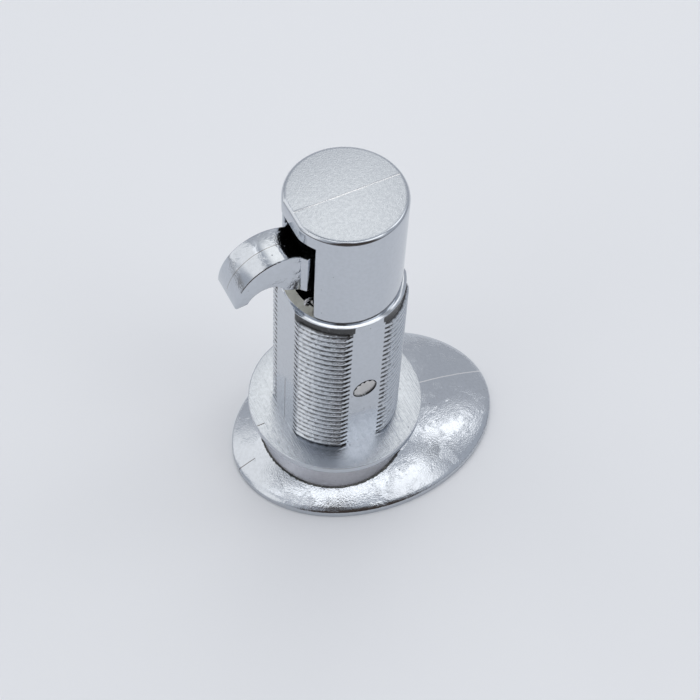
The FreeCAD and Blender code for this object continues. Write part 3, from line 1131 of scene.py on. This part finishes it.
# %% Floor
paper_tone = (0.775, 0.787, 0.815, 1.0)
beyond_tone = (0.10, 0.09, 0.085, 1.0)
paper_r = 0.20
toward_camera = (-0.498, -0.867, 0)
floor_bm = bmesh.new()
bmesh.ops.create_grid(floor_bm, x_segments=1, y_segments=1, size=4.0)
bmesh.ops.translate(floor_bm, vec=(0, 0, rim_z * MM), verts=floor_bm.verts)
floor = as_object(floor_bm, "floor")
paper = bpy.data.materials.new("floor_paper")
paper.use_nodes = True
paper_tree = paper.node_tree
paper_shader = paper_tree.nodes["Principled BSDF"]
paper_shader.inputs["Roughness"].default_value = 0.9
paper_shader.inputs["Specular IOR Level"].default_value = 0.0
floor_place = paper_tree.nodes.new("ShaderNodeTexCoord").outputs["Object"]
front_way = node(paper_tree, "VectorMath", {0: floor_place}, operation="DOT_PRODUCT")
front_way.inputs[1].default_value = toward_camera
reach = front_way.outputs["Value"]
camera_ray = paper_tree.nodes.new("ShaderNodeLightPath").outputs["Is Camera Ray"]
unseen = calc(paper_tree, "SUBTRACT", 1.0, camera_ray)
beyond = calc(paper_tree, "MULTIPLY", ranged(paper_tree, reach, paper_r, 1.5 * paper_r), unseen)
paper_tree.links.new(tinted(paper_tree, beyond, paper_tone, beyond_tone), paper_shader.inputs["Base Color"])
floor.data.materials.append(paper)
print("floor at z", round(rim_z, 2))

# %% [markdown]
# A light in the sky is a mask over directions. Each direction is a point on a flat disc, as seen from
# above: the disc's middle is overhead and its edge is the horizon.


# %% Sky effects
def sky_mask(tree, out, reach, softness, direction):
    """A mask that fades as `reach` passes 1, only above the horizon."""
    low = calc(tree, "SUBTRACT", 1.0, softness)
    high = calc(tree, "ADD", 1.0, softness)
    inside = ranged(tree, reach, low, high, 1.0, 0.0)
    above = ranged(tree, node(tree, "SeparateXYZ", {"Vector": direction}).outputs["Z"], 0.0, 0.05)
    tree.links.new(calc(tree, "MULTIPLY", inside, above), out.inputs["Mask"])


def off_middle(tree, given):
    """How far the direction lies from the light's middle."""
    links = {0: given.outputs["Direction"], 1: given.outputs["Middle"]}
    return node(tree, "VectorMath", links, operation="SUBTRACT").outputs[0]


def panel_group():
    """A soft-edged panel in the sky, by direction seen from above."""
    tree, given, out = new_group(
        "sky_panel",
        [
            ("Vector", "Direction", (0, 0, 0)),
            ("Vector", "Middle", (0, 0, 0)),
            ("Vector", "Half Size", (1, 1, 1)),
            ("Float", "Turn", 0.0),
            ("Float", "Softness", 0.4),
        ],
        [("Float", "Mask")],
    )
    links = {"Vector": off_middle(tree, given), "Angle": given.outputs["Turn"]}
    turned_off = node(tree, "VectorRotate", links, rotation_type="Z_AXIS")
    links = {0: turned_off.outputs[0], 1: given.outputs["Half Size"]}
    share = node(tree, "VectorMath", links, operation="DIVIDE")
    xyz = node(tree, "SeparateXYZ", {"Vector": share.outputs[0]})
    fourth = [calc(tree, "POWER", calc(tree, "ABSOLUTE", xyz.outputs[axis]), 4.0) for axis in "XY"]
    reach = calc(tree, "POWER", calc(tree, "ADD", *fourth), 0.25)
    sky_mask(tree, out, reach, given.outputs["Softness"], given.outputs["Direction"])
    return tree


def ring_group():
    """A soft ring in the sky, as a ring of lamps throws."""
    tree, given, out = new_group(
        "sky_ring",
        [
            ("Vector", "Direction", (0, 0, 0)),
            ("Vector", "Middle", (0, 0, 0)),
            ("Float", "Radius", 0.6),
            ("Float", "Half Width", 0.1),
            ("Float", "Softness", 0.4),
        ],
        [("Float", "Mask")],
    )
    xyz = node(tree, "SeparateXYZ", {"Vector": off_middle(tree, given)})
    squares = [calc(tree, "POWER", xyz.outputs[axis], 2.0) for axis in "XY"]
    out_by = calc(tree, "SUBTRACT", calc(tree, "SQRT", calc(tree, "ADD", *squares)), given.outputs["Radius"])
    reach = calc(tree, "DIVIDE", calc(tree, "ABSOLUTE", out_by), given.outputs["Half Width"])
    sky_mask(tree, out, reach, given.outputs["Softness"], given.outputs["Direction"])
    return tree


groups["panel"] = panel_group()
groups["ring"] = ring_group()

# %% [markdown]
# The sky is a grey room with soft bright and dark panels and one ring of light. The camera itself
# sees only the plain backdrop.

# %% Sky
room_tone = (0.52, 0.55, 0.60, 1.0)
horizon_tone = (0.34, 0.34, 0.34, 1.0)
below_tone = (0.10, 0.09, 0.085, 1.0)
backdrop_tone = (0.70, 0.72, 0.77, 1.0)
horizon_h = 0.24
world = bpy.data.worlds.new("studio")
world.use_nodes = True
bpy.context.scene.world = world
sky = world.node_tree
direction = sky.nodes.new("ShaderNodeTexCoord").outputs["Generated"]


def sky_light(under, effect, tone, **values):
    """Lay one panel or ring of light over the sky so far."""
    made = sky.nodes.new("ShaderNodeGroup")
    made.node_tree = groups[effect]
    sky.links.new(direction, made.inputs["Direction"])
    for key, value in values.items():
        made.inputs[key.replace("_", " ")].default_value = value
    return tinted(sky, made.outputs["Mask"], under, (*tone, 1.0))


up_share = node(sky, "SeparateXYZ", {"Vector": direction}).outputs["Z"]
light = tinted(sky, ranged(sky, up_share, horizon_h, 0.0), room_tone, horizon_tone)
light = tinted(sky, ranged(sky, up_share, 0.0, -0.03), light, below_tone)
ring_tone = (1.9, 1.9, 1.9)
ring_place = {"Middle": (0.14, 0.20, 0), "Radius": 0.63, "Half_Width": 0.075}
# Each panel has its tone, middle, half size, turn in degrees and softness.
sky_panels = [
    ((1.36, 1.36, 1.33), (0.24, 0.50), (0.32, 0.28), 0, 0.45),
    ((0.55, 0.57, 0.61), (-0.05, 0.98), (0.9, 0.32), 0, 0.3),
    ((0.55, 0.57, 0.61), (0.93, 0.52), (0.42, 0.45), 0, 0.3),
    ((1.15, 1.15, 1.15), (-0.54, 0.46), (0.24, 0.42), 0, 0.35),
    ((1.20, 1.20, 1.20), (-0.80, -0.12), (0.18, 0.22), 0, 0.5),
    ((0.30, 0.32, 0.35), (-0.28, 0.10), (0.14, 0.18), 0, 0.6),
    ((1.80, 1.80, 1.80), (0.63, -0.05), (0.16, 0.09), 0, 0.5),
    ((1.55, 1.55, 1.55), (0.34, -0.55), (0.18, 0.12), 0, 0.5),
    ((0.40, 0.42, 0.45), (0.56, -0.27), (0.10, 0.10), 0, 0.5),
    ((0.07, 0.055, 0.048), (-0.20, -0.88), (0.62, 0.21), 13, 0.3),
    ((0.08, 0.065, 0.06), (-0.25, -0.53), (0.12, 0.12), 0, 0.5),
]
for step, (tone, middle, half_size, turn_deg, softness) in enumerate(sky_panels):
    light = sky_light(
        light,
        "panel",
        tone,
        Middle=(*middle, 0),
        Half_Size=(*half_size, 1),
        Turn=math.radians(turn_deg),
        Softness=softness,
    )
    if step == 0:
        light = sky_light(light, "ring", ring_tone, **ring_place)
seen = sky.nodes.new("ShaderNodeLightPath").outputs["Is Camera Ray"]
sky.links.new(tinted(sky, seen, light, backdrop_tone), sky.nodes["Background"].inputs["Color"])
print("sky panels", len(sky_panels))

# %% [markdown]
# One broad lamp gives the soft shadow. It is kept out of the chrome, which shows only the sky.

# %% Lamp
lamp_data = bpy.data.lights.new("key", "AREA")
lamp_data.shape = "DISK"
lamp_data.size = 1.4
lamp_data.energy = 3.6
lamp = bpy.data.objects.new("key", lamp_data)
lamp.location = (0.35, 0.15, 1.1)
lamp.rotation_euler = (-lamp.location).to_track_quat("-Z", "Y").to_euler()
lamp.visible_glossy = False
bpy.context.scene.collection.objects.link(lamp)
print("lamp", lamp_data.size, "m wide")

# %% [markdown]
# The camera was worked out from the photograph by matching known circles of the barrel and flange.

# %% Camera
camera_data = bpy.data.cameras.new("camera")
camera = bpy.data.objects.new("camera", camera_data)
bpy.context.scene.collection.objects.link(camera)
camera_place = Vector((-102.58, -183.71, 314.47)) * MM
pan, tilt, roll = (math.radians(a) for a in (0.389, 54.775, 3.113))
level_ahead = -Vector((camera_place.x, camera_place.y, 0)).normalized()
right = level_ahead.cross(Vector((0, 0, 1)))
ahead = level_ahead * math.cos(tilt) - Vector((0, 0, 1)) * math.sin(tilt)
top = right.cross(ahead)
ahead, right = ahead * math.cos(pan) + right * math.sin(pan), right * math.cos(pan) - ahead * math.sin(pan)
right, top = right * math.cos(roll) + top * math.sin(roll), top * math.cos(roll) - right * math.sin(roll)
camera.matrix_world = Matrix((right, top, -ahead)).transposed().to_4x4()
camera.location = camera_place
camera_data.sensor_width = 36.0
camera_data.lens = 93.306
camera_data.clip_start = 0.01
bpy.context.scene.camera = camera
bpy.context.scene.view_settings.view_transform = "Standard"
print("camera at", [round(v, 3) for v in camera_place])
